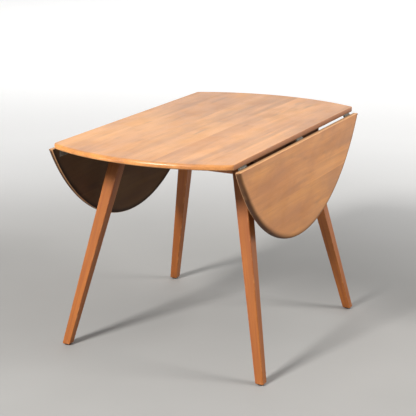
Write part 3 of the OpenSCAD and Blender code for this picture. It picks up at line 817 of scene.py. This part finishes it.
# Where each board was cut from the same wood, how dark the top's hinge edge is, and how much of
# the leaves' tan tone a board has
RIGHT_LEAF_SHIFT = (2.13, 0.41, 0.30)
LEFT_LEAF_SHIFT = (4.47, 1.27, 0.60)
TOP_HINGE_DARK = 0.8
LEAF_TAN = 1.0

SCREWS_AND_PINS = ("hinge_pins", "hinge_screws_top", "hinge_screws_left", "hinge_screws_right",
                   "bearer_screws", "bracket_screws", "glide_nails")
ZINC_FITTINGS = ("hanger_bolts", "hanger_nuts", "hanger_washers", "top_brackets", "pivot_bolts",
                 "pivot_washers")


def make_corner(end, side, order):
    """What each corner has below the top: a brace, a support arm and a glide."""
    make_timber(f"brace_{end}_{side}", (-SIDES[side] * ENDS[end], 1, 0), order)
    make_hardware(f"arm_{end}_{side}", "dull_steel", ARM_EASE)
    glide = frame["nodes"][f"glide_{end}_{side}"].data
    glide.materials.clear()
    glide.materials.append(MATERIALS["glide_plastic"])


def make_all():
    """Every piece. The order numbers keep the grain of each leg and timber its own."""
    make_top()
    make_leaf("right_leaf", 1, RIGHT_LEAF_SHIFT)
    make_leaf("left_leaf", -1, LEFT_LEAF_SHIFT)
    corners = [(end, side) for end in ENDS for side in SIDES]
    for order, (end, side) in enumerate(corners, 1):
        make_leg(f"leg_{end}_{side}", order)
    for order, end in enumerate(ENDS, 5):
        make_timber(f"end_rail_{end}", (1, 0, 0), order)
    for order, side in enumerate(SIDES, 7):
        make_timber(f"side_rail_{side}", (0, 1, 0), order, HIDDEN_SHADE)
        make_timber(f"bearer_{side}", (0, 1, 0), order + 2, HIDDEN_SHADE)
    for order, (end, side) in enumerate(corners, 11):
        make_corner(end, side, order)
    for side in SIDES:
        for place in HINGE_PLACES:
            make_hardware(f"hinge_{side}_{place}", "dull_steel", PLATE_EASE)
            make_hardware(f"flap_{side}_{place}", "dull_steel", PLATE_EASE)
    for node in SCREWS_AND_PINS:
        make_hardware(node, "dull_steel", SCREW_EASE)
    for node in ZINC_FITTINGS:
        make_hardware(node, "zinc_plate", PLATE_EASE)


make_all()

# ------------------------------------------------------------------ studio

# How bright the parts of the room round the stage are
HORIZON_GLOW = 0.5
ROOM_GLOW = 0.04
WALL_GLOW = 0.88
CEILING_GLOW = 0.75
FAR_FLOOR_GLOW = 0.37
FLOOR_HALF = 14.0
FLOOR_CELLS = 8
FLOOR_GREY = rgb(0.37, 0.365, 0.355)
FLOOR_CLOUD = rgb(0.40, 0.395, 0.385)
FLOOR_FAR = rgb(0.97, 0.97, 0.97)
# Where the floor turns pale and starts to glow, in metres back from or out from its centre
BEHIND = (-0.4, 1.4)
PALE_BEHIND = (0.6, 3.2)
PALE_ALL_ROUND = (4.5, 7.5)
GLOW_FROM = (2.4, 6.0)
# Where the room's parts fade, by the height or the depth of the direction that is looked in
WALL_TOP = (0.36, 0.62)
WALL_SIDES = (0.1, 0.75)
CEILING_START = (0.62, 0.92)
HORIZON_END = (0.11, 0.22)
ROOM_WHITE = rgb(1.0, 0.995, 0.985)
# Each lamp: place, point that it aims at, size, watts, colour and spread in degrees
LAMPS = {
    "key_front": ((-1.05, -4.2, 3.25), (0.0, 0.0, 0.45), 0.9, 102.0, (1.0, 0.985, 0.96), 110.0),
    "fill_right": ((4.0, 0.9, 3.15), (0.0, 0.0, 0.5), 1.5, 112.0, (1.0, 0.99, 0.97), 180.0),
    "rim_glint": ((-1.9, -2.4, 0.25), (-0.1, -0.5, 0.7), 0.3, 0.24, (1.0, 1.0, 1.0), 50.0),
    "behind": ((-2.5, 6.5, 4.5), (-2.5, 6.5, 0.0), 6.0, 120.0, (1.0, 1.0, 1.0), 180.0),
}
# The photo's camera, fitted to the table: degrees round from the front and up, metres from the
# point that it aims at, and the lens on a sensor of this width in millimetres
CAMERA_AROUND = 27.21
CAMERA_UP = 16.17
CAMERA_DISTANCE = 4.084
CAMERA_AIM = (-0.0198, 0.0, 0.4182)
CAMERA_LENS = 105.2
CAMERA_SENSOR = 36.0


def floor_material():
    """Pale grey near the table, paler behind it and all round farther off, where it glows."""
    g = Graph("studio_floor")
    place = g.position()
    cloud = g.noise(g.scaled(place, 1.1, 1.1, 1.1))
    colour = g.mix(g.ramp(cloud, 0.3, 0.7), FLOOR_GREY, FLOOR_CLOUD)
    away = g.length(place)
    behind = g.ramp(g.part(place, "Y"), *BEHIND)
    pale = g.maths("MULTIPLY", g.ramp(away, *PALE_BEHIND), behind)
    pale = g.maths("MAXIMUM", pale, g.ramp(away, *PALE_ALL_ROUND))
    glow = g.ramp(away, *GLOW_FROM, 0.0, FAR_FLOOR_GLOW)
    g.wire(glow, g.shader.inputs["Emission Strength"])
    colour = g.mix(pale, colour, FLOOR_FAR)
    grit = g.noise(g.scaled(place, 300.0, 300.0, 300.0), 2.0)
    return g.finish(colour, g.ramp(cloud, 0.3, 0.7, 0.75, 0.85), g.bump(grit, 0.00005),
                    Emission_Color=ROOM_WHITE)


def make_floor():
    bm = bmesh.new()
    bmesh.ops.create_grid(bm, x_segments=FLOOR_CELLS, y_segments=FLOOR_CELLS, size=FLOOR_HALF)
    mesh = mesh_from(bm, "studio_floor")
    mesh.materials.append(floor_material())
    floor = bpy.data.objects.new("studio_floor", mesh)
    bpy.context.scene.collection.objects.link(floor)


def make_world():
    """A dim room: pale at the horizon, with a tall pale wall behind and a glowing ceiling."""
    world = bpy.data.worlds.new("studio_surround")
    bpy.context.scene.world = world
    world.use_nodes = True
    nodes, links = world.node_tree.nodes, world.node_tree.links
    way = nodes.new("ShaderNodeTexCoord")
    split = nodes.new("ShaderNodeSeparateXYZ")
    links.new(way.outputs["Generated"], split.inputs[0])

    def share(axis, start, end, low, high):
        """A smooth step along one part of the direction that is looked in."""
        fade = nodes.new("ShaderNodeMapRange")
        fade.interpolation_type = "SMOOTHSTEP"
        for key, value in (("From Min", start), ("From Max", end), ("To Min", low),
                           ("To Max", high)):
            fade.inputs[key].default_value = value
        links.new(split.outputs[axis], fade.inputs["Value"])
        return fade.outputs[0]

    def joined(operation, *values):
        node = nodes.new("ShaderNodeMath")
        node.operation = operation
        for value, socket in zip(values, node.inputs):
            links.new(value, socket)
        return node.outputs[0]

    wall = joined("MULTIPLY", share("Z", *WALL_TOP, 1.0, 0.0),
                  share("Y", *WALL_SIDES, 0.0, WALL_GLOW))
    room = joined("ADD", share("Z", *CEILING_START, ROOM_GLOW, CEILING_GLOW),
                  share("Z", *HORIZON_END, HORIZON_GLOW, 0.0))
    links.new(joined("MAXIMUM", wall, room), nodes["Background"].inputs["Strength"])
    nodes["Background"].inputs["Color"].default_value = ROOM_WHITE


def softbox(name, place, aim, size, watts, colour, spread):
    """A square lamp that the camera doesn't see. A narrow spread makes its centre brighter."""
    light = bpy.data.lights.new(name, "AREA")
    light.shape = "SQUARE"
    light.size = size
    light.energy = watts
    light.color = colour
    light.spread = math.radians(spread)
    lamp = bpy.data.objects.new(name, light)
    lamp.visible_camera = False
    lamp.location = place
    lamp.rotation_euler = (Vector(aim) - Vector(place)).to_track_quat("-Z", "Y").to_euler()
    bpy.context.scene.collection.objects.link(lamp)


def make_lights():
    for name, settings in LAMPS.items():
        softbox(name, *settings)


def make_camera():
    """The view from the front right, a little above the top."""
    around, up = math.radians(CAMERA_AROUND), math.radians(CAMERA_UP)
    back = Vector((math.sin(around) * math.cos(up), -math.cos(around) * math.cos(up),
                   math.sin(up)))
    data = bpy.data.cameras.new("camera")
    data.sensor_width = CAMERA_SENSOR
    data.lens = CAMERA_LENS
    camera = bpy.data.objects.new("camera", data)
    camera.location = Vector(CAMERA_AIM) + back * CAMERA_DISTANCE
    camera.rotation_euler = (-back).to_track_quat("-Z", "Y").to_euler()
    bpy.context.scene.collection.objects.link(camera)
    bpy.context.scene.camera = camera


make_floor()
make_world()
make_lights()
make_camera()
bpy.context.scene.view_settings.view_transform = "Standard"
